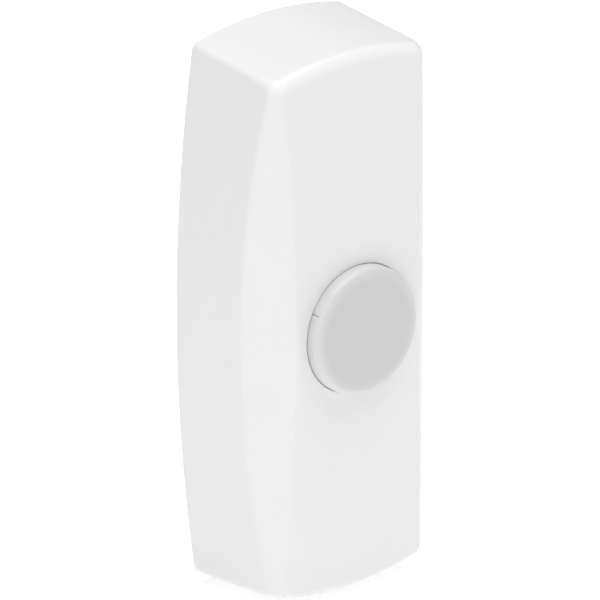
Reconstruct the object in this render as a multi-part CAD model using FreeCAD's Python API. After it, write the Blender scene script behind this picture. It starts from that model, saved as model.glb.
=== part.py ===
import FreeCAD, Part
import math
import os

# Wireless bell push: a bowed white cover on a wall plate, with a round button over a small transmitter.
# Millimetres. X is the width, +Z is up, the wall is the plane y = 0 and the front faces -Y.
# A "depth" below is a distance forward of the wall, so a depth d lies at y = -d.

# ---- driving dimensions -------------------------------------------------------------------------
HEIGHT = 85.0
WIDTH = 34.4
DEPTH = 20.15
SIDE_BOW = 3.25          # how far each side bulges between its corners
END_BOW = 1.75           # the same for the top and bottom
FRONT_BOW = 1.55         # the same for the front, along its height
END_DRAFT = 0.085        # the top and bottom lean in by this much per mm of depth
FACET_ANGLE = 44.5       # turn of the slanted facet from the side, in degrees
FACET_REACH = 22.4       # distance of the facet's plane from the centre of the wall face
EDGE_ROUND = 0.9
FACET_ROUND = 1.0

SIDE_WALL = 1.8
FRONT_WALL = 1.9
RIM_GAP = 0.1            # between the cover's rim and the wall
FIT_GAP = 0.2            # between the wall plate and the cover

PLATE = 2.0
LIP_TOP = 4.2
LIP_WALL = 1.2
SCREW_SPACING = 54.0
SCREW_HOLE_R = 2.1
SCREW_SINK_R = 4.0
SINK_START = 0.8         # depth of straight hole before the countersink

BUTTON_Z = -0.1
BUTTON_R = 9.55
BUTTON_PROUD = 2.35
BUTTON_ROUND = 1.1
BUTTON_DOME = 0.25
BUTTON_FACE = 1.9        # thickness of the cap's face
BUTTON_WALL = 1.5
HOLE_R = 9.7
FLANGE_R = 10.6
FLANGE_GAP = 0.2
FLANGE = 1.0
COLLAR_R = 12.0
COLLAR_BACK = 14.6
STEM_R = 1.9
FIN_REACH = 3.6
SPRING_WIRE_R = 0.2
SPRING_R = 4.7
SPRING_TURNS = 6
SEAL = 0.6
BUTTON_TRAVEL = 1.0
CLICK_TRAVEL = 0.25

BOARD = 1.6
BOARD_BACK = 9.0
BOARD_TOP = 4.3
BOARD_BOTTOM = -38.0
BOARD_HALF = 12.2
POST_X = 9.4
POST_ZS = (-34.5, -14.5)
POST_R = 2.2
STUB_R = 3.0             # the stouter foot of each post
STUB_BACK = 15.0
PILOT_R = 0.85

SWITCH_SIDE = 6.0
SWITCH_BODY = 3.5
SWITCH_HEIGHT = 4.3
SWITCH_STEM_R = 1.75
SWITCH_LID = 0.3
DOME_BASE = 1.0          # height of the snap dome's seat over the board
PIN_SPREAD = 2.25        # from the switch's middle to each leg, along the height
PIN_HALF = (0.15, 0.35)
TUNE_Z = -25.0

CHIP_X = (-10.6, -5.6)
CHIP_Z = (-27.0, -23.1)
CHIP_HEIGHT = 1.65
CHIP_PITCH = 1.27
CHIP_FIRST_PIN = -10.0
RESONATOR = (5.6, -20.6)
RESONATOR_R = 4.2
CAPACITOR = (-5.2, -18.4)
CAPACITOR_R = 2.5
CAPACITOR_HEIGHT = 5.3
TRANSISTOR_Z = -17.0
SMALL_PARTS = ((2.6, -26.9), (5.4, -26.9), (8.2, -26.9), (2.6, -29.0), (5.4, -29.0), (-2.6, -24.0),
               (-2.6, -26.6), (-1.0, -21.2))
SMALL_HALF = 0.6
SMALL_END = 1.0          # from the middle of a small part to its tinned end
AERIAL_FEED = (-7.4, -31.9)
AERIAL_WIRE_R = 0.3
AERIAL_R = 2.0
AERIAL_PITCH = 1.3
AERIAL_TURNS = 9
AERIAL_START = -5.85

CELL_R = 5.15
CELL_DEPTH = 8.7
CELL_BOTTOM = 8.9
CELL_CAN = 27.4
CELL_NUB = 0.8
CELL_DISC_R = 3.2
CELL_SHOULDER = 0.9      # height of the collar at the positive end
CONTACT = 0.3
CONTACT_HALF = 4.4
CONTACT_TAB = 8.4
CRADLE_WALL = 1.0
CRADLE_BACK = 5.5
CRADLE_HALF = 7.4
CRADLE_RIBS = (14.0, 22.5, 31.0)
LEAD_WAY = (6.5, 10.3)
LEAD_R = 0.55
LEAD_BEND = 0.85
LEAD_DEPTH = 7.1
LEAD_END_Z = 2.4

NOTCH_HALF = 4.0
NOTCH_DEPTH = 1.5
BEAD_R = 0.55
BEAD_HALF = 5.0
BEAD_DEPTH = 3.2
BEAD_SUNK = 0.2

board_front = BOARD_BACK + BOARD
corner_x = WIDTH / 2 - SIDE_BOW
corner_z = HEIGHT / 2 - END_BOW
button_front = DEPTH + BUTTON_PROUD
seat_depth = DEPTH - FRONT_WALL - 0.1
cell_top = CELL_BOTTOM + CELL_CAN
nub_top = cell_top + CELL_NUB
cradle_low = BOARD_TOP + 0.6
cradle_high = nub_top + CONTACT


# ---- helpers ------------------------------------------------------------------------------------
def at(x, depth, z):
    return FreeCAD.Vector(x, -depth, z)


def block(x0, x1, depth0, depth1, z0, z1):
    return Part.makeBox(x1 - x0, depth1 - depth0, z1 - z0, at(x0, depth1, z0))


def rod(radius, x, z, depth0, depth1):
    """A cylinder that points straight out of the wall."""
    return Part.makeCylinder(radius, depth1 - depth0, at(x, depth0, z), FreeCAD.Vector(0, -1, 0))


def ring(outer, inner, x, z, depth0, depth1):
    return rod(outer, x, z, depth0, depth1).cut(rod(inner, x, z, depth0, depth1))


def upright(radius, x, depth, z0, z1):
    """A cylinder that stands parallel to the height."""
    return Part.makeCylinder(radius, z1 - z0, at(x, depth, z0), FreeCAD.Vector(0, 0, 1))


def line(start, end):
    return Part.makeLine(start, end)


def arc(start, crown, end):
    return Part.Arc(start, crown, end).toShape()


def filled(edges):
    return Part.Face(Part.Wire(edges))


def joined(shapes):
    """One shape from touching or overlapping shapes."""
    whole = shapes[0].fuse(shapes[1:]) if len(shapes) > 1 else shapes[0]
    return whole.removeSplitter()


def middle(edge):
    return edge.valueAt((edge.FirstParameter + edge.LastParameter) / 2)


def bow_radius(half_chord, rise):
    return (half_chord ** 2 + rise ** 2) / (2 * rise)


def bow_drop(radius, offset):
    return radius - math.sqrt(radius ** 2 - offset ** 2)


def helix_tube(wire_r, coil_r, pitch, turns, base, axis):
    """A round wire wound on a cylinder from base along axis, closed at its ends."""
    path = Part.makeHelix(pitch, pitch * turns, coil_r)
    start = FreeCAD.Vector(coil_r, 0, 0)
    section = Part.Wire([Part.makeCircle(wire_r, start, FreeCAD.Vector(0, 1, pitch / (2 * math.pi * coil_r)))])
    coil = Part.Wire(path).makePipeShell([section], True, True)
    coil.rotate(FreeCAD.Vector(0, 0, 0), *turn_from_z(axis))
    coil.translate(base)
    return coil


def turn_from_z(axis):
    turn = FreeCAD.Rotation(FreeCAD.Vector(0, 0, 1), axis)
    return turn.Axis, math.degrees(turn.Angle)


def wire_run(radius, points, bend):
    """A round wire through the points, with an arc of radius bend at each corner."""
    edges = []
    start = points[0]
    for before, corner, after in zip(points, points[1:], points[2:]):
        entry = (before - corner).normalize()
        leave = (after - corner).normalize()
        half = entry.getAngle(leave) / 2
        reach = bend / math.tan(half)
        bisector = (entry + leave).normalize()
        crown = corner + bisector * (bend / math.sin(half) - bend)
        edges.append(line(start, corner + entry * reach))
        edges.append(arc(corner + entry * reach, crown, corner + leave * reach))
        start = corner + leave * reach
    edges.append(line(start, points[-1]))
    path = Part.Wire(edges)
    section = Part.Wire([Part.makeCircle(radius, points[0], points[1] - points[0])])
    return path.makePipeShell([section], True, True)


# ---- the bowed housing form ---------------------------------------------------------------------
def side_prism(inset):
    radius = bow_radius(corner_z, SIDE_BOW) - inset
    half = WIDTH / 2 - inset
    top = HEIGHT / 2 + 3
    edge = half - bow_drop(radius, top)
    right = arc(at(edge, 0, top), at(half, 0, 0), at(edge, 0, -top))
    left = arc(at(-edge, 0, -top), at(-half, 0, 0), at(-edge, 0, top))
    low = line(at(edge, 0, -top), at(-edge, 0, -top))
    high = line(at(-edge, 0, top), at(edge, 0, top))
    return filled([right, low, left, high]).extrude(at(0, DEPTH + 3, 0))


def end_limit(inset, side):
    """The half space below the crowned top (side 1) or above the bottom (side -1)."""
    radius = bow_radius(corner_x, END_BOW) - inset
    crown = HEIGHT / 2 - inset
    half = WIDTH / 2 + 3
    edge = crown - bow_drop(radius, half)
    bow = arc(at(-half, 0, side * edge), at(0, 0, side * crown), at(half, 0, side * edge))
    right = line(at(half, 0, side * edge), at(half, 0, -side * HEIGHT))
    far = line(at(half, 0, -side * HEIGHT), at(-half, 0, -side * HEIGHT))
    left = line(at(-half, 0, -side * HEIGHT), at(-half, 0, side * edge))
    reach = DEPTH + 3
    return filled([bow, right, far, left]).extrude(at(0, reach, -side * END_DRAFT * reach))


def front_limit(inset):
    radius = bow_radius(corner_z, FRONT_BOW) - inset
    crown = DEPTH - inset
    top = HEIGHT / 2 + 3
    half = WIDTH / 2 + 3
    edge = crown - bow_drop(radius, top)
    bow = arc(at(-half, edge, -top), at(-half, crown, 0), at(-half, edge, top))
    high = line(at(-half, edge, top), at(-half, 0, top))
    wall = line(at(-half, 0, top), at(-half, 0, -top))
    low = line(at(-half, 0, -top), at(-half, edge, -top))
    return filled([bow, high, wall, low]).extrude(FreeCAD.Vector(2 * half, 0, 0))


def facet_limit(inset):
    """The prism between the two slanted facets, which run straight up the front corners."""
    across = math.cos(math.radians(FACET_ANGLE))
    out = math.sin(math.radians(FACET_ANGLE))
    reach = FACET_REACH - inset
    half = WIDTH / 2 + 3
    side_depth = (reach - half * across) / out
    front = DEPTH + 3
    front_x = (reach - front * out) / across
    corners = [(-half, 0), (half, 0), (half, side_depth), (front_x, front), (-front_x, front), (-half, side_depth)]
    points = [at(x, depth, -HEIGHT) for x, depth in corners]
    return Part.Face(Part.makePolygon(points + points[:1])).extrude(at(0, 0, 2 * HEIGHT))


def housing_form(inset, front_inset):
    form = side_prism(inset)
    for limit in (end_limit(inset, 1), end_limit(inset, -1), front_limit(front_inset), facet_limit(inset)):
        form = form.common(limit)
    return form.Solids[0]


def slab(depth0, depth1):
    return block(-WIDTH, WIDTH, depth0, depth1, -HEIGHT, HEIGHT)


# ---- wall plate ---------------------------------------------------------------------------------
def snap_bead(side, grow):
    """A bead at the middle of the top or bottom lip, and with grow the pocket it snaps into."""
    edge = HEIGHT / 2 - SIDE_WALL - FIT_GAP
    z = side * (edge - END_DRAFT * LIP_TOP / 2 + 0.1 - BEAD_SUNK)
    half = BEAD_HALF + grow
    bead = upright(BEAD_R + grow, 0, 0, -half, half)
    bead.rotate(FreeCAD.Vector(0, 0, 0), FreeCAD.Vector(0, 1, 0), 90)
    bead.translate(at(0, BEAD_DEPTH, z))
    return bead


def back_plate():
    outer = housing_form(SIDE_WALL + FIT_GAP, FRONT_WALL)
    inner = housing_form(SIDE_WALL + FIT_GAP + LIP_WALL, FRONT_WALL)
    plate = outer.common(slab(0, PLATE))
    lip = outer.common(slab(PLATE, LIP_TOP)).cut(inner)
    slits = [block(x - 0.5, x + 0.5, PLATE, LIP_TOP, side * HEIGHT / 2 - 6, side * HEIGHT / 2 + 6)
             for x in (-6.6, 6.6) for side in (-1, 1)]
    ribs = [block(x - 0.6, x + 0.6, PLATE, PLATE + 1.2, -20, 20) for x in (-8.0, 8.0)]
    plate = joined([plate, lip.cut(slits[0].fuse(slits[1:]))] + ribs + [snap_bead(1, 0), snap_bead(-1, 0)])
    for z in (-SCREW_SPACING / 2, SCREW_SPACING / 2):
        sink = Part.makeCone(SCREW_HOLE_R, SCREW_SINK_R, PLATE - SINK_START, at(0, SINK_START, z), at(0, 1, 0))
        plate = plate.cut(rod(SCREW_HOLE_R, 0, z, -1, PLATE + 1).fuse(sink))
    return plate


# ---- front cover --------------------------------------------------------------------------------
def rounded_form():
    """The outside of the cover with its facet, top and bottom edges softened."""
    form = housing_form(0, 0).common(slab(RIM_GAP, DEPTH + 1)).Solids[0]
    facet_edges = [e for e in form.Edges if abs(middle(e).z) < 5 and -middle(e).y > DEPTH / 2]
    form = form.makeFillet(FACET_ROUND, facet_edges)
    end_edges = [e for e in form.Edges if abs(middle(e).z) > corner_z - 5 and -middle(e).y > RIM_GAP + 0.1]
    return form.makeFillet(EDGE_ROUND, end_edges)


def board_posts():
    """Posts from the front wall to the board: two take screws, two only carry it."""
    return [(x, z, (x < 0) == (z == POST_ZS[0])) for x in (-POST_X, POST_X) for z in POST_ZS]


def cradle():
    """Ribs and end walls moulded on the front wall that hold the cell and its contacts."""
    front = DEPTH - FRONT_WALL / 2
    low = block(-WIDTH / 2, WIDTH / 2, CRADLE_BACK, CELL_DEPTH + CELL_R, cradle_low, cradle_low + CRADLE_WALL)
    low = low.cut(block(*LEAD_WAY, CRADLE_BACK, CELL_DEPTH - 0.7, cradle_low - 1, cradle_low + 2))
    half = CRADLE_HALF - 0.4
    high = block(-half, half, CRADLE_BACK, front, cradle_high, cradle_high + CRADLE_WALL)
    ribs = []
    for z in CRADLE_RIBS:
        rib = block(-CRADLE_HALF, CRADLE_HALF, CRADLE_BACK, front, z, z + 1.2)
        rib = rib.cut(upright(CELL_R + 0.15, 0, CELL_DEPTH, z - 1, z + 3))
        mouth = CELL_R - 0.35
        ribs.append(rib.cut(block(-mouth, mouth, 0, CELL_DEPTH, z - 1, z + 3)))
    return [low, high] + ribs


def front_cover():
    inside = housing_form(SIDE_WALL, FRONT_WALL).common(slab(0, DEPTH))
    shell = rounded_form().cut(inside)
    seat_r = FLANGE_R + FLANGE_GAP
    collar = ring(COLLAR_R, seat_r, 0, BUTTON_Z, COLLAR_BACK, DEPTH - FRONT_WALL / 2)
    posts = [rod(POST_R, x, z, board_front, DEPTH - FRONT_WALL - 0.6) for x, z, _ in board_posts()]
    stubs = [rod(STUB_R, x, z, STUB_BACK, DEPTH - FRONT_WALL / 2 - 0.4) for x, z, _ in board_posts()]
    cover = joined([shell, collar] + posts + stubs + cradle())
    cover = cover.common(rounded_form())
    cover = cover.cut(rod(seat_r, 0, BUTTON_Z, COLLAR_BACK - 1, seat_depth))
    cover = cover.cut(rod(HOLE_R, 0, BUTTON_Z, COLLAR_BACK - 1, DEPTH + 1))
    for x, z, has_screw in board_posts():
        if has_screw:
            cover = cover.cut(rod(PILOT_R, x, z, board_front - 1, board_front + 4.5))
    cover = cover.cut(snap_bead(1, 0.15)).cut(snap_bead(-1, 0.15))
    return cover.cut(block(-NOTCH_HALF, NOTCH_HALF, 0, NOTCH_DEPTH, -HEIGHT, -HEIGHT / 2 + SIDE_WALL + 1))


# ---- button -------------------------------------------------------------------------------------
def button_cap():
    flange_front = seat_depth - SEAL
    flange_back = flange_front - FLANGE
    face_back = button_front - BUTTON_FACE
    shoulder = button_front - BUTTON_DOME
    flat_r = BUTTON_R - BUTTON_ROUND
    inner_r = BUTTON_R - BUTTON_WALL
    dome_r = bow_radius(flat_r, BUTTON_DOME)
    dome_drop = bow_drop(dome_r, flat_r / 2)
    slant = BUTTON_ROUND * math.sqrt(0.5)
    corners = [(0, button_front), (0, face_back), (inner_r, face_back), (inner_r, flange_back),
               (FLANGE_R, flange_back), (FLANGE_R, flange_front), (BUTTON_R, flange_front),
               (BUTTON_R, shoulder - BUTTON_ROUND)]
    points = [at(r, depth, BUTTON_Z) for r, depth in corners]
    edges = [line(start, end) for start, end in zip(points, points[1:])]
    rim = at(flat_r, shoulder, BUTTON_Z)
    edges.append(arc(points[-1], at(flat_r + slant, shoulder - BUTTON_ROUND + slant, BUTTON_Z), rim))
    edges.append(arc(rim, at(flat_r / 2, button_front - dome_drop, BUTTON_Z), points[0]))
    cap = filled(edges).revolve(at(0, 0, BUTTON_Z), FreeCAD.Vector(0, 1, 0), 360)
    stem_tip = board_front + SWITCH_HEIGHT + BUTTON_TRAVEL - CLICK_TRAVEL + 0.02
    stem = rod(STEM_R, 0, BUTTON_Z, stem_tip, face_back + 0.4)
    fin_start = stem_tip + 1.4
    fins = [block(-FIN_REACH, FIN_REACH, fin_start, face_back + 0.4, BUTTON_Z - 0.5, BUTTON_Z + 0.5),
            block(-0.5, 0.5, fin_start, face_back + 0.4, BUTTON_Z - FIN_REACH, BUTTON_Z + FIN_REACH)]
    return joined([cap, stem] + fins)


def button_seal():
    return ring(FLANGE_R + 0.1, HOLE_R + 0.1, 0, BUTTON_Z, seat_depth - SEAL, seat_depth)


def button_spring():
    length = button_front - BUTTON_FACE - board_front - 2 * SPRING_WIRE_R - 0.1
    base = at(0, board_front + SPRING_WIRE_R + 0.05, BUTTON_Z)
    pitch = length / SPRING_TURNS
    return helix_tube(SPRING_WIRE_R, SPRING_R, pitch, SPRING_TURNS, base, FreeCAD.Vector(0, -1, 0))


# ---- circuit board ------------------------------------------------------------------------------
def pin_places(z):
    return [(side * (SWITCH_SIDE / 2 + 0.25), z + dz) for side in (-1, 1) for dz in (-PIN_SPREAD, PIN_SPREAD)]


def circuit_board():
    board = block(-BOARD_HALF, BOARD_HALF, BOARD_BACK, board_front, BOARD_BOTTOM, BOARD_TOP)
    corners = [e for e in board.Edges if abs(e.Length - BOARD) < 0.01]
    board = board.makeFillet(1.5, corners)
    for x, z, has_screw in board_posts():
        if has_screw:
            board = board.cut(rod(1.3, x, z, BOARD_BACK - 1, board_front + 1))
    for x, z in pin_places(BUTTON_Z) + [AERIAL_FEED]:
        board = board.cut(rod(0.5, x, z, BOARD_BACK - 1, board_front + 1))
    return board


def board_screws():
    screws = []
    for x, z, has_screw in board_posts():
        if has_screw:
            head = Part.makeCone(1.6, 2.1, 1.2, at(x, BOARD_BACK - 1.2, z), at(0, 1, 0))
            shank = rod(0.8, x, z, BOARD_BACK - 0.2, board_front + 4.0)
            slot = block(x - 1.7, x + 1.7, BOARD_BACK - 2, BOARD_BACK - 0.6, z - 0.25, z + 0.25)
            cross = block(x - 0.25, x + 0.25, BOARD_BACK - 2, BOARD_BACK - 0.6, z - 1.7, z + 1.7)
            screws.append(joined([head, shank]).cut(slot).cut(cross))
    return Part.makeCompound(screws)


def mirror_to_back(shape):
    """The same piece on the other face of the board."""
    return shape.mirror(at(0, (BOARD_BACK + board_front) / 2, 0), FreeCAD.Vector(0, 1, 0))


def switch_body(z):
    half = SWITCH_SIDE / 2
    top = board_front + SWITCH_BODY - SWITCH_LID
    body = block(-half, half, board_front + 0.1, top, z - half, z + half)
    upright_edges = [e for e in body.Edges if abs(e.Length - (top - board_front - 0.1)) < 0.01]
    body = body.makeChamfer(0.4, upright_edges)
    return body.cut(rod(2.4, 0, z, board_front + DOME_BASE, board_front + SWITCH_BODY))


def switch_dome(z):
    """The snap dome that the plunger buckles."""
    radius = bow_radius(2.1, 0.45)
    base = board_front + DOME_BASE
    outer = Part.makeSphere(radius, at(0, base + 0.55 - radius, z))
    inner = Part.makeSphere(radius - 0.1, at(0, base + 0.55 - radius, z))
    return outer.cut(inner).common(rod(2.2, 0, z, base, base + 1.0))


def switch_frame(z):
    """The sheet-metal lid that is staked over the body."""
    half = SWITCH_SIDE / 2
    top = board_front + SWITCH_BODY
    lid = block(-half, half, top - SWITCH_LID, top, z - half, z + half)
    lid = lid.cut(rod(SWITCH_STEM_R + 0.08, 0, z, top - 1, top + 1))
    pegs = [rod(0.35, x, z + dz, top, top + 0.2) for x in (-2.3, 2.3) for dz in (-2.3, 2.3)]
    return joined([lid] + pegs)


def switch_plunger(z):
    tip = board_front + SWITCH_HEIGHT
    foot = board_front + DOME_BASE + 0.65 + CLICK_TRAVEL
    stem = rod(SWITCH_STEM_R, 0, z, foot, tip)
    rim = [e for e in stem.Edges if e.Length > 1 and -middle(e).y > tip - 0.1]
    return stem.makeFillet(0.2, rim)


def switch_pins(z, through):
    """Four legs: through the board, or with through false turned out flat on it."""
    pins = []
    half_x, half_z = PIN_HALF
    for x, pin_z in pin_places(z):
        side = 1 if x > 0 else -1
        foot = BOARD_BACK - 0.9 if through else board_front
        leg = block(x - half_x, x + half_x, foot, board_front + 1.6, pin_z - half_z, pin_z + half_z)
        if not through:
            x0, x1 = sorted((x, x + side * 1.0))
            leg = joined([leg, block(x0, x1, board_front, board_front + 0.2, pin_z - half_z, pin_z + half_z)])
        pins.append(leg)
    return Part.makeCompound(pins)


# ---- transmitter --------------------------------------------------------------------------------
def encoder_chip():
    top = board_front + CHIP_HEIGHT
    chip = block(*CHIP_X, board_front + 0.15, top, *CHIP_Z)
    chip = chip.makeChamfer(0.25, [e for e in chip.Edges if -middle(e).y > top - 0.05])
    return chip.cut(rod(0.3, CHIP_FIRST_PIN, CHIP_Z[0] + 0.7, top - 0.15, top + 1))


def chip_pins():
    pins = []
    for index in range(4):
        x = CHIP_FIRST_PIN + CHIP_PITCH * index
        for edge, out in zip(CHIP_Z, (-1, 1)):
            z0, z1 = sorted((edge, edge + out * 0.55))
            high = block(x - 0.2, x + 0.2, board_front + 0.75, board_front + 0.95, z0, z1)
            z2, z3 = sorted((edge + out * 0.35, edge + out * 0.55))
            drop = block(x - 0.2, x + 0.2, board_front, board_front + 0.95, z2, z3)
            z4, z5 = sorted((edge + out * 0.35, edge + out * 1.05))
            foot = block(x - 0.2, x + 0.2, board_front, board_front + 0.2, z4, z5)
            pins.append(joined([high, drop, foot]))
    return Part.makeCompound(pins)


def resonator_can():
    can = rod(RESONATOR_R, *RESONATOR, board_front + 0.5, board_front + 3.2)
    can = can.makeFillet(0.5, [e for e in can.Edges if e.Length > 1 and -middle(e).y > board_front + 3.1])
    return joined([can, rod(RESONATOR_R + 0.4, *RESONATOR, board_front + 0.1, board_front + 0.5)])


def transistor_body():
    body = block(-1.0, 1.0, board_front + 0.1, board_front + 1.1, TRANSISTOR_Z - 1.4, TRANSISTOR_Z + 1.4)
    return body.makeChamfer(0.15, [e for e in body.Edges if -middle(e).y > board_front + 1.05])


def transistor_leads():
    leads = []
    for side, z in ((-1, TRANSISTOR_Z - 0.95), (-1, TRANSISTOR_Z + 0.95), (1, TRANSISTOR_Z)):
        x0, x1 = sorted((side * 1.0, side * 1.6))
        leads.append(block(x0, x1, board_front, board_front + 0.15, z - 0.2, z + 0.2))
        x2, x3 = sorted((side * 1.0, side * 1.15))
        leads[-1] = joined([leads[-1], block(x2, x3, board_front, board_front + 0.6, z - 0.2, z + 0.2)])
    return Part.makeCompound(leads)


def capacitor_can():
    x, z = CAPACITOR
    top = board_front + CAPACITOR_HEIGHT
    can = rod(CAPACITOR_R, x, z, board_front + 0.3, top)
    can = can.makeFillet(0.4, [e for e in can.Edges if e.Length > 1 and -middle(e).y > top - 0.1])
    level = block(x - 2.0, x + 2.0, top - 0.15, top + 1, z - 0.1, z + 0.1)
    return can.cut(level).cut(block(x - 0.1, x + 0.1, top - 0.15, top + 1, z - 2.0, z + 2.0))


def chip_parts(start, depth):
    """The bodies of every second small part from start."""
    half = SMALL_HALF
    front = board_front + depth
    return Part.makeCompound([block(x - half, x + half, board_front + 0.02, front, z - half, z + half)
                              for x, z in SMALL_PARTS[start::2]])


def chip_part_caps():
    """The tinned ends of every small surface-mounted part."""
    caps = []
    for x, z in SMALL_PARTS:
        for side in (-1, 1):
            x0, x1 = sorted((x + side * SMALL_HALF, x + side * SMALL_END))
            caps.append(block(x0, x1, board_front, board_front + 0.55, z - 0.62, z + 0.62))
    return Part.makeCompound(caps)


def antenna_coil():
    """A wound spring aerial that lies along the bottom of the board."""
    start = at(AERIAL_START, board_front + AERIAL_R + 0.5, AERIAL_FEED[1])
    return helix_tube(AERIAL_WIRE_R, AERIAL_R, AERIAL_PITCH, AERIAL_TURNS, start, FreeCAD.Vector(1, 0, 0))


def antenna_post():
    """The pin at the feed end of the aerial."""
    return rod(0.4, *AERIAL_FEED, BOARD_BACK - 0.8, board_front + 1.6)


def solder_joints():
    joints = []
    for x, z in pin_places(BUTTON_Z) + [AERIAL_FEED]:
        cone = Part.makeCone(1.0, 0.55, 0.7, at(x, BOARD_BACK, z), at(0, -1, 0))
        pin_hole = block(x - 0.16, x + 0.16, 0, BOARD_BACK, z - 0.36, z + 0.36)
        if z < BUTTON_Z - 5:
            pin_hole = rod(0.41, x, z, 0, BOARD_BACK)
        joints.append(cone.cut(pin_hole))
    return Part.makeCompound(joints)


# ---- cell and contacts --------------------------------------------------------------------------
def cell_can():
    can = upright(CELL_R, 0, CELL_DEPTH, CELL_BOTTOM, cell_top - CELL_SHOULDER)
    return can.makeFillet(0.5, [e for e in can.Edges if e.Length > 25 and abs(middle(e).z - CELL_BOTTOM) < 0.1])


def cell_insulator():
    """The sleeve's shrunk collar around the positive end."""
    collar = upright(CELL_R, 0, CELL_DEPTH, cell_top - CELL_SHOULDER, cell_top)
    top = [e for e in collar.Edges if e.Length > 25 and abs(middle(e).z - cell_top) < 0.1]
    return collar.makeFillet(0.6, top).cut(upright(CELL_DISC_R, 0, CELL_DEPTH, cell_top - 1, cell_top + 1))


def cell_positive():
    disc = upright(CELL_DISC_R, 0, CELL_DEPTH, cell_top - CELL_SHOULDER, cell_top - 0.1)
    nub = upright(1.9, 0, CELL_DEPTH, cell_top - 0.2, nub_top)
    nub = nub.makeFillet(0.3, [e for e in nub.Edges if e.Length > 10 and abs(middle(e).z - nub_top) < 0.1])
    return joined([disc, nub])


def contact_plate(z):
    """A nickelled plate across an end of the cell, with a tab for its lead."""
    back = CELL_DEPTH - 3.0
    plate = block(-CONTACT_HALF, CONTACT_HALF, back, CELL_DEPTH + 4.2, z, z + CONTACT)
    return joined([plate, block(CONTACT_HALF, CONTACT_TAB, back, CELL_DEPTH - 0.2, z, z + CONTACT)])


def contact_spring():
    wire_r = 0.25
    base_z = cradle_low + CRADLE_WALL + CONTACT + wire_r + 0.02
    turns = 3
    length = CELL_BOTTOM - base_z - wire_r - 0.02
    return helix_tube(wire_r, 2.8, length / turns, turns, at(0, CELL_DEPTH, base_z), FreeCAD.Vector(0, 0, 1))


def positive_lead():
    route = [at(7.9, LEAD_DEPTH, nub_top - 0.15), at(8.9, LEAD_DEPTH, 27.0), at(9.3, LEAD_DEPTH, 12.0),
             at(9.3, LEAD_DEPTH, LEAD_END_Z), at(9.3, BOARD_BACK, LEAD_END_Z)]
    return wire_run(LEAD_R, route, LEAD_BEND)


def negative_lead():
    route = [at(7.4, LEAD_DEPTH, cradle_low + CRADLE_WALL - 0.01), at(7.4, LEAD_DEPTH, LEAD_END_Z),
             at(7.4, BOARD_BACK, LEAD_END_Z)]
    return wire_run(LEAD_R, route, LEAD_BEND)


# ---- the nodes ----------------------------------------------------------------------------------
def nodes():
    return {
        "back_plate": back_plate(),
        "front_cover": front_cover(),
        "button_cap": button_cap(),
        "button_seal": button_seal(),
        "button_spring": button_spring(),
        "circuit_board": circuit_board(),
        "board_screws": board_screws(),
        "switch_body": switch_body(BUTTON_Z),
        "switch_dome": switch_dome(BUTTON_Z),
        "switch_frame": switch_frame(BUTTON_Z),
        "switch_plunger": switch_plunger(BUTTON_Z),
        "switch_pins": switch_pins(BUTTON_Z, True),
        "tune_switch_body": mirror_to_back(switch_body(TUNE_Z)),
        "tune_switch_dome": mirror_to_back(switch_dome(TUNE_Z)),
        "tune_switch_frame": mirror_to_back(switch_frame(TUNE_Z)),
        "tune_switch_plunger": mirror_to_back(switch_plunger(TUNE_Z)),
        "tune_switch_pins": mirror_to_back(switch_pins(TUNE_Z, False)),
        "encoder_chip": encoder_chip(),
        "chip_pins": chip_pins(),
        "resonator_can": resonator_can(),
        "transistor_body": transistor_body(),
        "transistor_leads": transistor_leads(),
        "capacitor_can": capacitor_can(),
        "chip_capacitors": chip_parts(0, 0.6),
        "chip_resistors": chip_parts(1, 0.45),
        "chip_part_caps": chip_part_caps(),
        "antenna_coil": antenna_coil(),
        "antenna_post": antenna_post(),
        "solder_joints": solder_joints(),
        "cell_can": cell_can(),
        "cell_insulator": cell_insulator(),
        "cell_positive": cell_positive(),
        "positive_contact": contact_plate(nub_top),
        "negative_contact": contact_plate(cradle_low + CRADLE_WALL),
        "contact_spring": contact_spring(),
        "positive_lead": positive_lead(),
        "negative_lead": negative_lead(),
    }


def main():
    os.makedirs("parts", exist_ok=True)
    for name, shape in nodes().items():
        solids = shape.Solids
        whole = solids[0] if len(solids) == 1 else Part.makeCompound(solids)
        print(name, len(solids), "solid(s)", "valid" if whole.isValid() else "NOT VALID", round(whole.Volume, 2))
        whole.exportStep("parts/" + name + ".step")


main()
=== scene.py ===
import math

import bmesh
import bpy
import numpy as np
from bpy.props import FloatProperty, FloatVectorProperty, IntProperty, PointerProperty
from mathutils import Matrix, Vector


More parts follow.
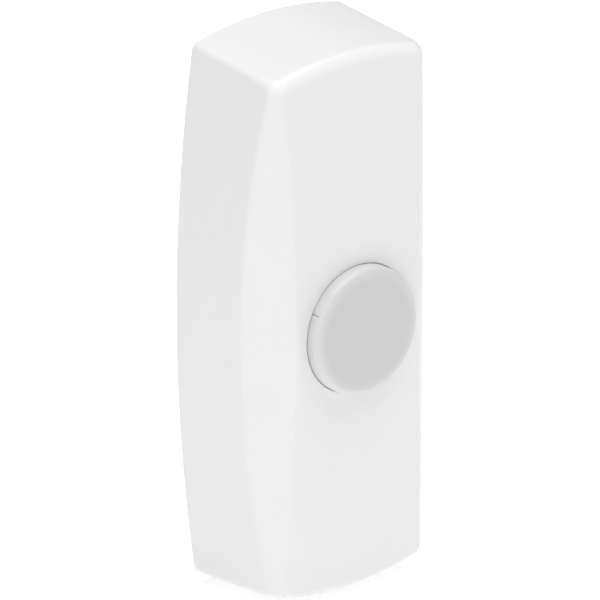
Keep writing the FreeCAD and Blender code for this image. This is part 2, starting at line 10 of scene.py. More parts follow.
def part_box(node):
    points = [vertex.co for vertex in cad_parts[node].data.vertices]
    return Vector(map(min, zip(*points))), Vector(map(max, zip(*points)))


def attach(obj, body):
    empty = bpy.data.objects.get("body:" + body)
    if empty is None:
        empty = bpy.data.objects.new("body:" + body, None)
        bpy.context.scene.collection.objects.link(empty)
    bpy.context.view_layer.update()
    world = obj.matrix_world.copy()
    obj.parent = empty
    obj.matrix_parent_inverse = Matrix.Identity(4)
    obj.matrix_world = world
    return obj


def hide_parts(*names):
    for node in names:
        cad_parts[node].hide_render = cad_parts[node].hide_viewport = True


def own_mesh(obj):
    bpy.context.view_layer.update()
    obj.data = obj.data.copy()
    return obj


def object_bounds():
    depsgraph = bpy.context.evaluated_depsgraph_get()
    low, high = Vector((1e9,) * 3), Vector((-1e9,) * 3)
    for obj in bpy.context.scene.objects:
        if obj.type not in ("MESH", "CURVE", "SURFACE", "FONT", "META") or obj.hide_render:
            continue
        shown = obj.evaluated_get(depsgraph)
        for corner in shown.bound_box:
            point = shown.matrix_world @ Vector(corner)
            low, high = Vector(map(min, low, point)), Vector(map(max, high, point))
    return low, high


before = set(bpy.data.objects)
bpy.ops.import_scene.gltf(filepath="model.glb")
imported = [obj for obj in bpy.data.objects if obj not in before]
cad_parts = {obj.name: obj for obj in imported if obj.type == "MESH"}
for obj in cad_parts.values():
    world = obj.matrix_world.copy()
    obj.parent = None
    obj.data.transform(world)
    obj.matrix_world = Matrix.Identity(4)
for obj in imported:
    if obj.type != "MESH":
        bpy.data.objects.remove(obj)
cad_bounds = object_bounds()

bl_info = {
    "name": "Bell push",
    "version": (1, 0, 0),
    "blender": (4, 5, 0),
    "location": "View3D > Sidebar > Bell push",
    "description": "Builds a wall-mounted wireless bell push around its packed model",
    "category": "Object",
}

MM = 0.001


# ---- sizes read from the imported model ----
def node_size(node):
    """(lowest, highest) corner of a node with depths forward of the wall instead of y, in mm."""
    low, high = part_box(node)
    return (low.x / MM, -high.y / MM, low.z / MM), (high.x / MM, -low.y / MM, high.z / MM)


cover_low, cover_high = node_size("front_cover")
cap_low, cap_high = node_size("button_cap")
seal_low, seal_high = node_size("button_seal")
board_low, board_high = node_size("circuit_board")
can_low, can_high = node_size("cell_can")
coil_low, coil_high = node_size("button_spring")
contact_low, contact_high = node_size("contact_spring")
aerial_low, aerial_high = node_size("antenna_coil")
feed_low, feed_high = node_size("antenna_post")

BUTTON_Z = (cap_low[2] + cap_high[2]) / 2
CELL_DEPTH = (can_low[1] + can_high[1]) / 2
BOARD_BACK, BOARD_FRONT = board_low[1], board_high[1]
FEED = ((feed_low[0] + feed_high[0]) / 2, (feed_low[2] + feed_high[2]) / 2)


# ---- what a user would change ----
def length(name, description, default):
    """A size in millimetres."""
    return FloatProperty(name=name, description=description, default=default, min=0.0, precision=2)


def colour(name, description, default):
    return FloatVectorProperty(name=name, description=description, default=default, subtype="COLOR",
                               size=3, min=0.0, max=1.0)


def share(name, description, default):
    """A part of one."""
    return FloatProperty(name=name, description=description, default=default, subtype="FACTOR",
                         min=0.0, max=1.0)


def plain_number(name, description, default):
    return FloatProperty(name=name, description=description, default=default)


def turn(name, description, degrees):
    return FloatProperty(name=name, description=description, default=math.radians(degrees),
                         subtype="ANGLE")


def lamp_power(name, place, watts):
    return FloatProperty(name=name, description=f"Power of the {place}, watts", default=watts,
                         unit="POWER")


class CoverSettings(bpy.types.PropertyGroup):
    width: length("Width", "Across the bowed sides at mid height, mm", cover_high[0] - cover_low[0])
    height: length("Height", "Over the crowned ends at the wall, mm", 85.0)
    depth: length("Depth", "Wall to the middle of the front, mm", cover_high[1])
    side_bow: length("Side bow", "How far each side bulges between its corners, mm", 3.25)
    end_bow: length("End bow", "How far the top and bottom bulge, mm", 1.75)
    front_bow: length("Front bow", "How far the front bulges along its height, mm", 1.55)
    end_draft: plain_number("End draft", "Inward lean of the ends per mm of depth", 0.085)
    facet_angle: turn("Facet angle", "Turn of the corner facet from the side", 44.5)
    facet_reach: length("Facet reach", "From the middle of the wall face to the facet's plane, mm", 22.4)
    side_wall: length("Side wall", "Wall thickness of sides and ends, mm", 1.8)
    front_wall: length("Front wall", "Wall thickness of the front, mm", 1.9)
    facet_round: length("Facet round", "Softness of the facet's two long edges, mm", 0.35)
    side_round: length("Side round", "Rounding where sides meet the ends, mm", 0.8)
    top_round: length("Top round", "Rounding where the front meets the top, mm", 2.2)
    base_round: length("Base round", "Rounding where the front meets the bottom, mm", 1.2)
    rim_round: length("Rim round", "Rounding of the rim at the wall, mm", 0.12)
    tint: colour("Colour", "Moulded white", (0.72, 0.72, 0.72))
    roughness: share("Roughness", "Satin gloss of the moulding", 0.42)


class ButtonSettings(bpy.types.PropertyGroup):
    radius: length("Radius", "Radius of the visible cap, mm", 9.6)
    hole_radius: length("Hole radius", "Radius of the hole in the cover, mm", 9.69)
    edge_round: length("Edge round", "Rounding of the cap's front edge, mm", 1.1)
    dome: length("Dome", "Rise of the cap's face, mm", 0.25)
    tint: colour("Colour", "Moulded light grey", (0.525, 0.525, 0.525))
    # The rim's paler grey is a painted highlight on the cap's rounded edge, not a colour of the moulding.
    rim_highlight_tint: colour("Rim painted highlight", "Paler grey painted on the cap's thin edge as a highlight", (0.61, 0.61, 0.61))
    nick_turn: turn("Nick", "Where the moulding nick lies round the flank", 153.2)
    roughness: share("Roughness", "Satin gloss of the cap", 0.45)


class InsideSettings(bpy.types.PropertyGroup):
    spring_turns: IntProperty(name="Spring turns", description="Turns of the button's return spring",
                              default=6, min=3)
    board_tint: colour("Board colour", "Solder resist", (0.012, 0.11, 0.035))
    sleeve_tint: colour("Cell sleeve", "Shrink sleeve of the cell", (0.035, 0.04, 0.05))


class StageSettings(bpy.types.PropertyGroup):
    floor_tint: share("Floor", "Pale floor's brightness", 0.92)
    sky_strength: plain_number("Surround", "Strength of the even white surround", 0.2)
    floor_glow: plain_number("Floor glow", "Light that the floor gives off itself", 0.4)
    key_power: lamp_power("Key", "high right softbox", 0.5)
    front_power: lamp_power("Front", "softbox by the camera", 0.85)
    high_power: lamp_power("High", "high softbox by the camera", 1.4)
    top_power: lamp_power("Top", "overhead softbox", 11.0)
    left_power: lamp_power("Left", "softbox on the left", 1.4)
    right_power: lamp_power("Right", "softbox on the right", 0.3)
    azimuth: turn("Azimuth", "Camera's turn round the object", -40.36)
    elevation: turn("Elevation", "Camera's height above the horizon", 21.73)
    distance: FloatProperty(name="Distance", description="Camera to its aim", default=1.243,
                            unit="LENGTH")
    lens: FloatProperty(name="Lens", description="Focal length on a 36 mm sensor, mm", default=520.2,
                        unit="CAMERA")


# ---- small mesh helpers ----
def spot(x, depth, z):
    """A point in metres from mm across, forward of the wall and up."""
    return Vector((x, -depth, z)) * MM


def link(name, mesh):
    piece = bpy.data.objects.new(name, mesh)
    bpy.context.scene.collection.objects.link(piece)
    return piece


def mesh_piece(name, points, faces):
    """An object from mm points with depths, and faces as tuples of point numbers."""
    mesh = bpy.data.meshes.new(name)
    mesh.from_pydata([spot(*point) for point in points], [], faces)
    mesh.validate()
    return link(name, mesh)


def outward(piece):
    """Merges doubles and turns every face outwards."""
    bm = bmesh.new()
    bm.from_mesh(piece.data)
    bmesh.ops.remove_doubles(bm, verts=bm.verts, dist=0.002 * MM)
    bmesh.ops.dissolve_degenerate(bm, edges=bm.edges, dist=0.001 * MM)
    bmesh.ops.recalc_face_normals(bm, faces=bm.faces)
    bm.to_mesh(piece.data)
    bm.free()
    return piece


def smooth(piece, degrees=32.0):
    piece.data.polygons.foreach_set("use_smooth", [True] * len(piece.data.polygons))
    piece.data.set_sharp_from_angle(angle=math.radians(degrees))
    return piece


def finish_piece(piece, body, slot, material, *replaced):
    """Gives a piece its finish and the body it rides on."""
    piece.data.materials.clear()
    piece.data.materials.append(material)
    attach(piece, body)
    if replaced:
        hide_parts(*replaced)
    return piece


def evaluated(piece):
    """Turns a piece's modifiers into plain mesh."""
    bpy.context.view_layer.update()
    graph = bpy.context.evaluated_depsgraph_get()
    mesh = bpy.data.meshes.new_from_object(piece.evaluated_get(graph))
    piece.modifiers.clear()
    piece.data = mesh
    return piece


def boolean(piece, others, operation):
    """Joins to or cuts from a closed piece a list of closed pieces, which are used up."""
    for other in others:
        modifier = piece.modifiers.new(operation, "BOOLEAN")
        modifier.operation = operation
        modifier.solver = "MANIFOLD"
        modifier.object = other
        other.hide_render = True
    evaluated(piece)
    for other in others:
        bpy.data.objects.remove(other)
    return without_slivers(piece)


def without_slivers(piece):
    """Collapses the tiny edges a boolean leaves. A mesh that this would tear stays as it is."""
    bm = bmesh.new()
    bm.from_mesh(piece.data)
    bmesh.ops.remove_doubles(bm, verts=bm.verts, dist=0.003 * MM)
    bmesh.ops.dissolve_degenerate(bm, edges=bm.edges, dist=0.002 * MM)
    many_sided = [face for face in bm.faces if len(face.verts) > 4]
    bmesh.ops.triangulate(bm, faces=many_sided, quad_method="BEAUTY", ngon_method="BEAUTY")
    torn = [edge for edge in bm.edges if len(edge.link_faces) != 2]
    if not torn:
        bm.to_mesh(piece.data)
    bm.free()
    return piece


def lathe(name, outline, x, z, segments=128, closed=False, upright=None):
    """A turned solid from (radius, distance) points about an axis that points out of the wall,
    or about an upright axis at the depth given as upright."""
    points = []
    for radius, along in outline:
        for step in range(segments):
            angle = 2 * math.pi * step / segments
            across, round_by = radius * math.cos(angle), radius * math.sin(angle)
            if upright is None:
                points.append((x + across, along, z + round_by))
            else:
                points.append((x + across, upright + round_by, z + along))
    faces = []
    rows = len(outline)
    for row in range(rows if closed else rows - 1):
        for step in range(segments):
            after = (step + 1) % segments
            start, end = row * segments, (row + 1) % rows * segments
            faces.append((start + step, start + after, end + after, end + step))
    return outward(mesh_piece(name, points, faces))


def arc_points(centre_r, centre_d, radius, start, end, steps):
    """(radius, depth) points along an arc, angles in degrees from the radial direction towards the front."""
    angles = [math.radians(start + (end - start) * step / steps) for step in range(steps + 1)]
    return [(centre_r + radius * math.cos(a), centre_d + radius * math.sin(a)) for a in angles]


def block(name, x0, x1, depth0, depth1, z0, z1):
    corners = [(x, depth, z) for x in (x0, x1) for depth in (depth0, depth1) for z in (z0, z1)]
    faces = [(0, 1, 3, 2), (4, 6, 7, 5), (0, 4, 5, 1), (2, 3, 7, 6), (0, 2, 6, 4), (1, 5, 7, 3)]
    return outward(mesh_piece(name, corners, faces))


def rod(name, radius, x, z, start, end, segments=64, upright=None):
    outline = [(0.0, start), (radius, start), (radius, end), (0.0, end)]
    return lathe(name, outline, x, z, segments, upright=upright)


# ---- the bowed form ----
def bow_radius(half_chord, rise):
    return (half_chord ** 2 + rise ** 2) / (2 * rise)


def blended(first, second, radius):
    """The larger of two distances, rounded over where they meet."""
    inside = np.minimum(np.maximum(first, second), -radius)
    return inside + np.hypot(np.maximum(first + radius, 0), np.maximum(second + radius, 0))


ROUND_START = 0.78
ROUND_SPAN = 0.14
SETTLE_ROUNDS = 12


class BowedForm:
    """The housing's form as a distance function: bowed sides, ends and front with slanted corner facets.
    Points are arrays of (x, depth, z) in mm. inset and front_inset take the walls off for the inside.
    The ends' rounding goes from side_round to its front value over ROUND_SPAN of the depth."""

    def __init__(self, cover, inset, front_inset, rounds):
        corner_x = cover.width / 2 - cover.side_bow
        corner_z = cover.height / 2 - cover.end_bow
        self.half = cover.width / 2 - inset
        self.crown = cover.height / 2 - inset
        self.front = cover.depth - front_inset
        self.side_r = bow_radius(corner_z, cover.side_bow) - inset
        self.end_r = bow_radius(corner_x, cover.end_bow) - inset
        self.front_r = bow_radius(corner_z, cover.front_bow) - front_inset
        self.draft = cover.end_draft
        self.across = math.cos(cover.facet_angle)
        self.out = math.sin(cover.facet_angle)
        self.reach = cover.facet_reach - inset
        self.facet_round, self.side_round, self.top_round, self.base_round = rounds

    def side_x(self, z):
        return self.half - self.side_r + np.sqrt(self.side_r ** 2 - z ** 2)

    def front_depth(self, z):
        return self.front - self.front_r + np.sqrt(self.front_r ** 2 - z ** 2)

    def end_z(self, x, depth):
        return self.crown - self.end_r + np.sqrt(self.end_r ** 2 - x ** 2) - self.draft * depth

    def distance(self, points):
        x, depth, z = np.abs(points[:, 0]), points[:, 1], points[:, 2]
        side = np.hypot(x + self.side_r - self.half, z) - self.side_r
        front = np.hypot(depth + self.front_r - self.front, z) - self.front_r
        facet = x * self.across + depth * self.out - self.reach
        end = np.hypot(np.abs(z) + self.draft * depth + self.end_r - self.crown, x) - self.end_r
        walls = blended(blended(side, facet, self.facet_round), front, self.facet_round)
        forward = np.clip((depth - self.front * ROUND_START) / (self.front * ROUND_SPAN), 0, 1)
        forward = forward * forward * (3 - 2 * forward)
        front_round = np.where(z > 0, self.top_round, self.base_round)
        return blended(walls, end, self.side_round + (front_round - self.side_round) * forward)

    def settled(self, points, level):
        """Points moved on to the rounded surface; the ones marked level keep their depth."""
        step = 1e-4
        points = points.copy()
        for _ in range(SETTLE_ROUNDS):
            here = self.distance(points)
            slope = np.zeros_like(points)
            for axis in range(3):
                ahead = points.copy()
                ahead[:, axis] += step
                slope[:, axis] = (self.distance(ahead) - here) / step
            slope[level, 1] = 0
            points -= slope * (here / np.maximum((slope ** 2).sum(1), 1e-9))[:, None]
        return points


def spread(fine, last, count):
    """Fine offsets from an edge, then count even steps on to last."""
    start = fine[-1]
    return list(fine) + [start + (last - start) * step / count for step in range(1, count + 1)]


# How the skin's points are spaced. The steps are mm from an end's edge and from a facet's crease.
EDGE_STEPS = (0.0, 0.12, 0.25, 0.4, 0.6, 0.85, 1.15, 1.5, 1.9, 2.3, 2.8)
CREASE_STEPS = (0.08, 0.17, 0.28, 0.42, 0.6, 0.9)
CREASE_SHARE = 0.42
SIDE_COLUMNS = 9
FACET_COLUMNS = (0.25, 0.5, 0.75)
FRONT_COLUMNS = 13
HALF_ROWS = 25
EDGE_ROUNDS = 8
BACK_POINTS = 5
CAP_RINGS = 8
NEAR = 0.01
INNER_ROUND = 0.5


def half_profile(form, z, rim):
    """Columns of the sharp section from the right rim to the middle of the front, at heights z."""
    side_x, front = form.side_x(z), form.front_depth(z)
    side_end = (form.reach - side_x * form.across) / form.out
    facet_x = (form.reach - front * form.out) / form.across
    run = np.hypot(side_x - facet_x, front - side_end)
    columns = []
    margin = CREASE_STEPS[-1]
    for part in np.linspace(0, 1, SIDE_COLUMNS):
        columns.append((side_x, rim + (side_end - margin - rim) * part))
    for offset in CREASE_STEPS[-2::-1] + (0.0,):
        columns.append((side_x, side_end - offset))
    squeeze = np.minimum(1.0, CREASE_SHARE * run / margin)
    offsets = [squeeze * offset / run for offset in CREASE_STEPS]
    middle = [offsets[-1] + (1 - 2 * offsets[-1]) * part for part in FACET_COLUMNS]
    for part in offsets + middle + [1 - offset for offset in offsets[::-1]] + [np.ones_like(run)]:
        columns.append((side_x + (facet_x - side_x) * part, side_end + (front - side_end) * part))
    for offset in CREASE_STEPS:
        columns.append((facet_x - offset, front))
    for part in np.linspace(0, 1, FRONT_COLUMNS)[1:]:
        columns.append(((facet_x - margin) * (1 - part), front))
    return columns


def profile(form, z, rim):
    """Every column from the right rim over the front to the left rim: arrays of x and depth."""
    right = half_profile(form, z, rim)
    left = [(-x, depth) for x, depth in right[-2::-1]]
    return right + left


def corner_heights(form, rim, columns):
    """Height of the sharp end edge at each column."""
    heights = np.full(columns, form.crown)
    for _ in range(EDGE_ROUNDS):
        section = profile(form, heights, rim)
        heights = np.array([form.end_z(x[index], depth[index])
                            for index, (x, depth) in enumerate(section)])
    return heights


def skin(form, rim):
    """Points and faces of a form's skin, open at the rim, with the rim's loop of point numbers."""
    columns = len(profile(form, np.zeros(1), rim))
    heights = corner_heights(form, rim, columns)
    near = np.array(EDGE_STEPS)
    far = np.linspace(0, 1, HALF_ROWS)[1:]
    grid = []
    for index in range(columns):
        from_edge = heights[index] - near
        top = np.append(from_edge, from_edge[-1] * (1 - far))
        z = np.concatenate([-top, top[-2::-1]])
        x, depth = profile(form, z, rim)[index]
        grid.append(np.stack([x, depth + 0 * z, z], axis=1))
    grid = np.stack(grid, axis=1)
    rows = len(grid)
    points = [tuple(point) for point in grid.reshape(-1, 3)]
    faces = []
    for row in range(rows - 1):
        for index in range(columns - 1):
            start = row * columns + index
            faces.append((start, start + 1, start + columns + 1, start + columns))
    edges = {-1: list(range(columns)), 1: list(range((rows - 1) * columns, rows * columns))}
    back_loops = {}
    for side in (-1, 1):
        end_faces, back_loops[side] = end_cap(form, points, edges[side], rim, side)
        faces += end_faces
    right = list(range(0, rows * columns, columns))
    left = list(range(rows * columns - 1, 0, -columns))
    loop = right + back_loops[1][::-1] + left + back_loops[-1]
    points = np.array(points)
    level = np.zeros(len(points), bool)
    level[loop] = True
    return form.settled(points, level), faces, loop


def end_cap(form, points, edge, rim, side):
    """Rings from an end's edge to its middle. Returns the faces and the points along the rim."""
    outline = [points[number][:2] for number in edge]
    ring = list(edge)
    corner = -outline[-1][0]
    offsets = spread(EDGE_STEPS[1:], corner, BACK_POINTS)
    back_x = [-corner + offset for offset in offsets] + [corner - offset for offset in offsets[-2::-1]]
    back = []
    for x in back_x:
        back.append(len(points))
        outline.append((x, rim))
        points.append((x, rim, side * float(form.end_z(np.array(x), rim))))
    ring += back
    centre = np.array((0.0, form.front / 2))
    outline = np.array(outline)
    spans = np.hypot(*(centre - outline).T)
    shortest = spans.min()
    faces = []
    for offset in spread(EDGE_STEPS[1:], shortest, CAP_RINGS):
        if offset < EDGE_STEPS[-1] + NEAR:
            part = offset / spans
        else:
            start = EDGE_STEPS[-1] / spans
            part = start + (1 - start) * (offset - EDGE_STEPS[-1]) / (shortest - EDGE_STEPS[-1])
        after = []
        if offset > shortest - NEAR:
            after = [len(points)] * len(ring)
            points.append((0.0, centre[1], side * float(form.end_z(np.array(0.0), centre[1]))))
        else:
            for index, (x, depth) in enumerate(outline + (centre - outline) * part[:, None]):
                after.append(len(points))
                points.append((x, depth, side * float(form.end_z(np.array(x), depth))))
        for index in range(len(ring)):
            follow = (index + 1) % len(ring)
            corners = [ring[index], ring[follow], after[follow], after[index]]
            if corners[2] == corners[3]:
                corners = corners[:3]
            faces.append(tuple(corners if side == 1 else corners[::-1]))
        ring = after
    return faces, back


def cover_shell(cover):
    """The closed shell: outer skin, rounded rim and inner skin."""
    rim = cover_low[1]
    rounds = (cover.facet_round, cover.side_round, cover.top_round, cover.base_round)
    outer = BowedForm(cover, 0, 0, rounds)
    inner = BowedForm(cover, cover.side_wall, cover.front_wall, (INNER_ROUND,) * 4)
    points, faces, outer_loop = skin(outer, rim + cover.rim_round)
    inner_points, inner_faces, inner_loop = skin(inner, rim + cover.rim_round)
    first_inner = len(points)
    faces += [tuple(first_inner + number for number in face[::-1]) for face in inner_faces]
    inner_loop = [first_inner + number for number in inner_loop]
    points = np.vstack([points, inner_points])
    across = points[inner_loop] - points[outer_loop]
    across[:, 1] = 0
    across /= np.linalg.norm(across, axis=1)[:, None]
    loops = [outer_loop]
    radius = cover.rim_round
    for start, angles, sign in ((outer_loop, (30, 60, 90), 1), (inner_loop, (90, 60, 30), -1)):
        for angle in angles:
            inward = across * sign * radius * (1 - math.cos(math.radians(angle)))
            lift = points[start] + inward
            lift[:, 1] -= radius * math.sin(math.radians(angle))
            loops.append(list(range(len(points), len(points) + len(start))))
            points = np.vstack([points, lift])
    loops.append(inner_loop)
    for before, after in zip(loops, loops[1:]):
        for index in range(len(before)):
            follow = (index + 1) % len(before)
            faces.append((before[index], before[follow], after[follow], after[index]))
    return outward(mesh_piece("cover_shell", [tuple(point) for point in points], faces)), inner


# ---- node trees ----
def add_node(tree, kind, inputs, **options):
    """A node with its options set. Its inputs, by name or number, are values or other nodes' outputs."""
    node = tree.nodes.new(kind)
    for option, value in options.items():
        setattr(node, option, value)
    for label, value in inputs.items():
        if isinstance(value, bpy.types.NodeSocket):
            tree.links.new(value, node.inputs[label])
        else:
            node.inputs[label].default_value = value
    return node


class Tree:
    """A Geometry Nodes tree with named inputs, ending in Realize Instances and Set Material."""

    def __init__(self, name, **sizes):
        self.group = bpy.data.node_groups.new(name, "GeometryNodeTree")
        self.group.interface.new_socket("Geometry", in_out="OUTPUT", socket_type="NodeSocketGeometry")
        self.sockets = {}
        for label in sizes:
            socket = self.group.interface.new_socket(label, in_out="INPUT", socket_type="NodeSocketFloat")
            self.sockets[label] = socket.identifier
        self.sizes = sizes
        self.entry = self.group.nodes.new("NodeGroupInput")

    def size(self, label):
        return self.entry.outputs[label]

    def add(self, kind, operation=None, **inputs):
        """A node with its inputs given by name or, as n0 and n1, by number."""
        options = {"operation": operation} if operation else {}
        named = {int(label[1:]) if label[1:].isdigit() else label.replace("_", " "): value
                 for label, value in inputs.items()}
        return add_node(self.group, kind, named, **options)

    def number(self, operation, first, second=0.0):
        return self.add("ShaderNodeMath", operation, n0=first, n1=second).outputs[0]

    def vector(self, x=0.0, y=0.0, z=0.0):
        return self.add("ShaderNodeCombineXYZ", X=x, Y=y, Z=z).outputs[0]

    def built(self, name, geometry, material):
        """Ends the tree, runs it with its sizes and returns the result as a plain mesh piece."""
        whole = self.add("GeometryNodeRealizeInstances", Geometry=geometry).outputs[0]
        painted = self.add("GeometryNodeSetMaterial", Geometry=whole, Material=material).outputs[0]
        self.group.links.new(painted, self.group.nodes.new("NodeGroupOutput").inputs[0])
        piece = link(name, bpy.data.meshes.new(name))
        modifier = piece.modifiers.new(self.group.name, "NODES")
        modifier.node_group = self.group
        for label, value in self.sizes.items():
            modifier[self.sockets[label]] = value
        evaluated(piece)
        if not piece.data.polygons:
            raise RuntimeError(f"{name} came out empty")
        return outward(piece)


WIRE_SIDES = 14
STEPS_PER_TURN = 48
CLOSED_PITCH = 2.04


def coil_piece(name, material, wire_r, coil_r, turns, pitch, closed_turns=0.0):
    """A wire wound about +Z from the origin, in mm. Over closed_turns at each end the turns lie
    CLOSED_PITCH wire radii apart."""
    tree = Tree(name, Wire=wire_r * MM, Coil=coil_r * MM, Pitch=pitch * MM, Turns=float(turns),
                Closed=closed_turns)
    number = tree.number
    wire, coil, all_turns, closed = [tree.size(label) for label in ("Wire", "Coil", "Turns", "Closed")]
    steps = int(turns * STEPS_PER_TURN)
    line = tree.add("GeometryNodeCurvePrimitiveLine").outputs[0]
    line = tree.add("GeometryNodeResampleCurve", Curve=line, Count=steps + 1).outputs[0]
    along = number("DIVIDE", tree.add("GeometryNodeInputIndex").outputs[0], float(steps))
    turned = number("MULTIPLY", along, all_turns)
    angle = number("MULTIPLY", turned, 2 * math.pi)
    open_turns = number("SUBTRACT", all_turns, number("MULTIPLY", closed, 2.0))
    risen = number("MAXIMUM", number("SUBTRACT", turned, closed), 0.0)
    open_part = number("DIVIDE", number("MINIMUM", risen, open_turns), open_turns)
    flat = number("MULTIPLY", wire, CLOSED_PITCH)
    ends = number("MULTIPLY", flat, closed)
    lowest = number("MULTIPLY", number("MINIMUM", turned, closed), flat)
    past = number("SUBTRACT", turned, number("ADD", open_turns, closed))
    highest = number("MULTIPLY", number("MAXIMUM", past, 0.0), flat)
    whole = number("MULTIPLY", tree.size("Pitch"), all_turns)
    open_rise = number("SUBTRACT", whole, number("MULTIPLY", ends, 2.0))
    height = number("ADD", number("ADD", lowest, highest), number("MULTIPLY", open_part, open_rise))
    x = number("MULTIPLY", number("COSINE", angle), coil)
    y = number("MULTIPLY", number("SINE", angle), coil)
    path = tree.add("GeometryNodeSetPosition", Geometry=line, Position=tree.vector(x, y, height)).outputs[0]
    section = tree.add("GeometryNodeCurvePrimitiveCircle", Resolution=WIRE_SIDES, Radius=wire).outputs[0]
    tube = tree.add("GeometryNodeCurveToMesh", Curve=path, Profile_Curve=section, Fill_Caps=True).outputs[0]
    return tree.built(name, tube, material)


def placed(piece, x, depth, z, facing):
    """Moves a piece's mesh so that its +Z points along facing and its origin is at the place."""
    tipped = Vector(facing).to_track_quat("Z", "Y").to_matrix().to_4x4()
    piece.data.transform(Matrix.Translation(spot(x, depth, z)) @ tipped)
    return piece


def scattered(name, outline, places, material, facing=(0, 1, 0), segments=32):
    """Copies of one turned form, its (radius, height) outline in mm, at each (x, depth, z) along facing."""
    form = lathe(name + "_form", outline, 0, 0, segments, upright=0.0)
    spots = link(name + "_spots", bpy.data.meshes.new(name))
    spots.data.from_pydata([spot(*place) for place in places], [], [])
    way = Vector(facing).to_track_quat("Z", "Y").to_euler()
    tree = Tree(name, Size=1.0)
    source = tree.add("GeometryNodeObjectInfo", Object=spots).outputs["Geometry"]
    shape = tree.add("GeometryNodeObjectInfo", Object=form).outputs["Geometry"]
    copies = tree.add("GeometryNodeInstanceOnPoints", Points=source, Instance=shape,
                      Rotation=tuple(way)).outputs[0]
    scale = tree.vector(*[tree.size("Size")] * 3)
    copies = tree.add("GeometryNodeScaleInstances", Instances=copies, Scale=scale).outputs[0]
    piece = tree.built(name, copies, material)
    for helper in (form, spots):
        bpy.data.objects.remove(helper)
    return piece


# ---- finishes ----
NOISE_LOW, NOISE_HIGH = 0.3, 0.7  # most of a noise lies between these


class Finish:
    """A procedural material built up node by node on the object's own coordinates."""

    def __init__(self, name):
        self.material = bpy.data.materials.new(name)
        self.material.use_nodes = True
        self.tree = self.material.node_tree
        self.shader = self.tree.nodes["Principled BSDF"]
        self.place = self.add("ShaderNodeTexCoord", {}).outputs["Object"]

    def add(self, kind, inputs, **options):
        return add_node(self.tree, kind, inputs, **options)

    def drive(self, label, source):
        self.tree.links.new(source, self.shader.inputs[label])
        return self

    def set(self, **values):
        for name, value in values.items():
            label = name.replace("_", " ").title().replace("Ior", "IOR")
            self.shader.inputs[label].default_value = value
        return self

    def noise(self, size_mm, detail=2.0):
        inputs = {"Vector": self.place, "Scale": 1.0 / (size_mm * MM), "Detail": detail}
        return self.add("ShaderNodeTexNoise", inputs).outputs["Fac"]

    def ranged(self, source, low, high, start=NOISE_LOW, end=NOISE_HIGH):
        inputs = {"Value": source, "From Min": start, "From Max": end, "To Min": low, "To Max": high}
        return self.add("ShaderNodeMapRange", inputs).outputs["Result"]

    def tinted(self, source, dark, light):
        ramp = self.add("ShaderNodeValToRGB", {"Fac": source})
        for element, position, tint in zip(ramp.color_ramp.elements, (NOISE_LOW, NOISE_HIGH), (dark, light)):
            element.position = position
            element.color = (*tint, 1.0)
        return self.drive("Base Color", ramp.outputs["Color"])

    def painted_rim_highlight(self, centre_z, start, end, rim):
        """Paints a highlight on the cap's rounded edge: blends the tint into rim, a paler painted highlight
        tint, from one distance to the next about the button's axis, in mm.
        """
        to_axis = {0: self.place, 1: (1.0, 0.0, 1.0), 2: (0.0, 0.0, -centre_z * MM)}
        flat = self.add("ShaderNodeVectorMath", to_axis, operation="MULTIPLY_ADD")
        reach = self.add("ShaderNodeVectorMath", {0: flat.outputs["Vector"]}, operation="LENGTH")
        part = self.ranged(reach.outputs["Value"], 0.0, 1.0, start * MM, end * MM)
        tint = self.shader.inputs["Base Color"].links[0].from_socket
        blend = self.add("ShaderNodeMix", {"Factor": part, 6: tint, 7: (*rim, 1.0)}, data_type="RGBA")
        return self.drive("Base Color", blend.outputs[2])

    def rough(self, source, low, high):
        return self.drive("Roughness", self.ranged(source, low, high))

    def bumps(self, *layers):
        """Stacks bump layers of (height source, height in mm, strength)."""
        below = {}
        for source, height, strength in layers:
            inputs = {"Height": source, "Distance": height * MM, "Strength": strength, **below}
            below = {"Normal": self.add("ShaderNodeBump", inputs).outputs["Normal"]}
        return self.drive("Normal", below["Normal"])


def scaled(tint, factor):
    return tuple(min(1.0, channel * factor) for channel in tint)


def moulded_finish(name, tint, roughness, grain=0.18, depth=0.004):
    """Injection-moulded plastic: a fine even texture, faint flow mottling and slightly uneven gloss.
    grain and depth are the texture's size and height in mm."""
    mottle, uneven, wave_height, plastic_ior = 0.006, 0.03, 0.006, 1.49
    finish = Finish(name)
    flow = finish.noise(size_mm=9.0, detail=3.0)
    fine = finish.noise(grain, detail=3.0)
    finish.tinted(flow, scaled(tint, 1 - mottle), scaled(tint, 1 + mottle))
    finish.rough(finish.noise(size_mm=1.4, detail=4.0), roughness - uneven, roughness + uneven)
    finish.bumps((fine, depth, 0.5), (finish.noise(size_mm=6.0, detail=1.0), wave_height, 0.4))
    finish.set(ior=plastic_ior)
    return finish


def moulded(name, tint, roughness, **texture):
    return moulded_finish(name, tint, roughness, **texture).material


def plated(name, tint, roughness, grain=0.25):
    """Plated or drawn metal with fine unevenness."""
    finish = Finish(name)
    darker, lighter, pit_height = 0.9, 1.06, 0.006
    finish.tinted(finish.noise(size_mm=1.1, detail=4.0), scaled(tint, darker), scaled(tint, lighter))
    finish.rough(finish.noise(size_mm=0.5, detail=3.0), roughness - 0.06, roughness + 0.08)
    finish.bumps((finish.noise(grain, detail=3.0), pit_height, 0.4))
    finish.set(metallic=1.0)
    return finish.material


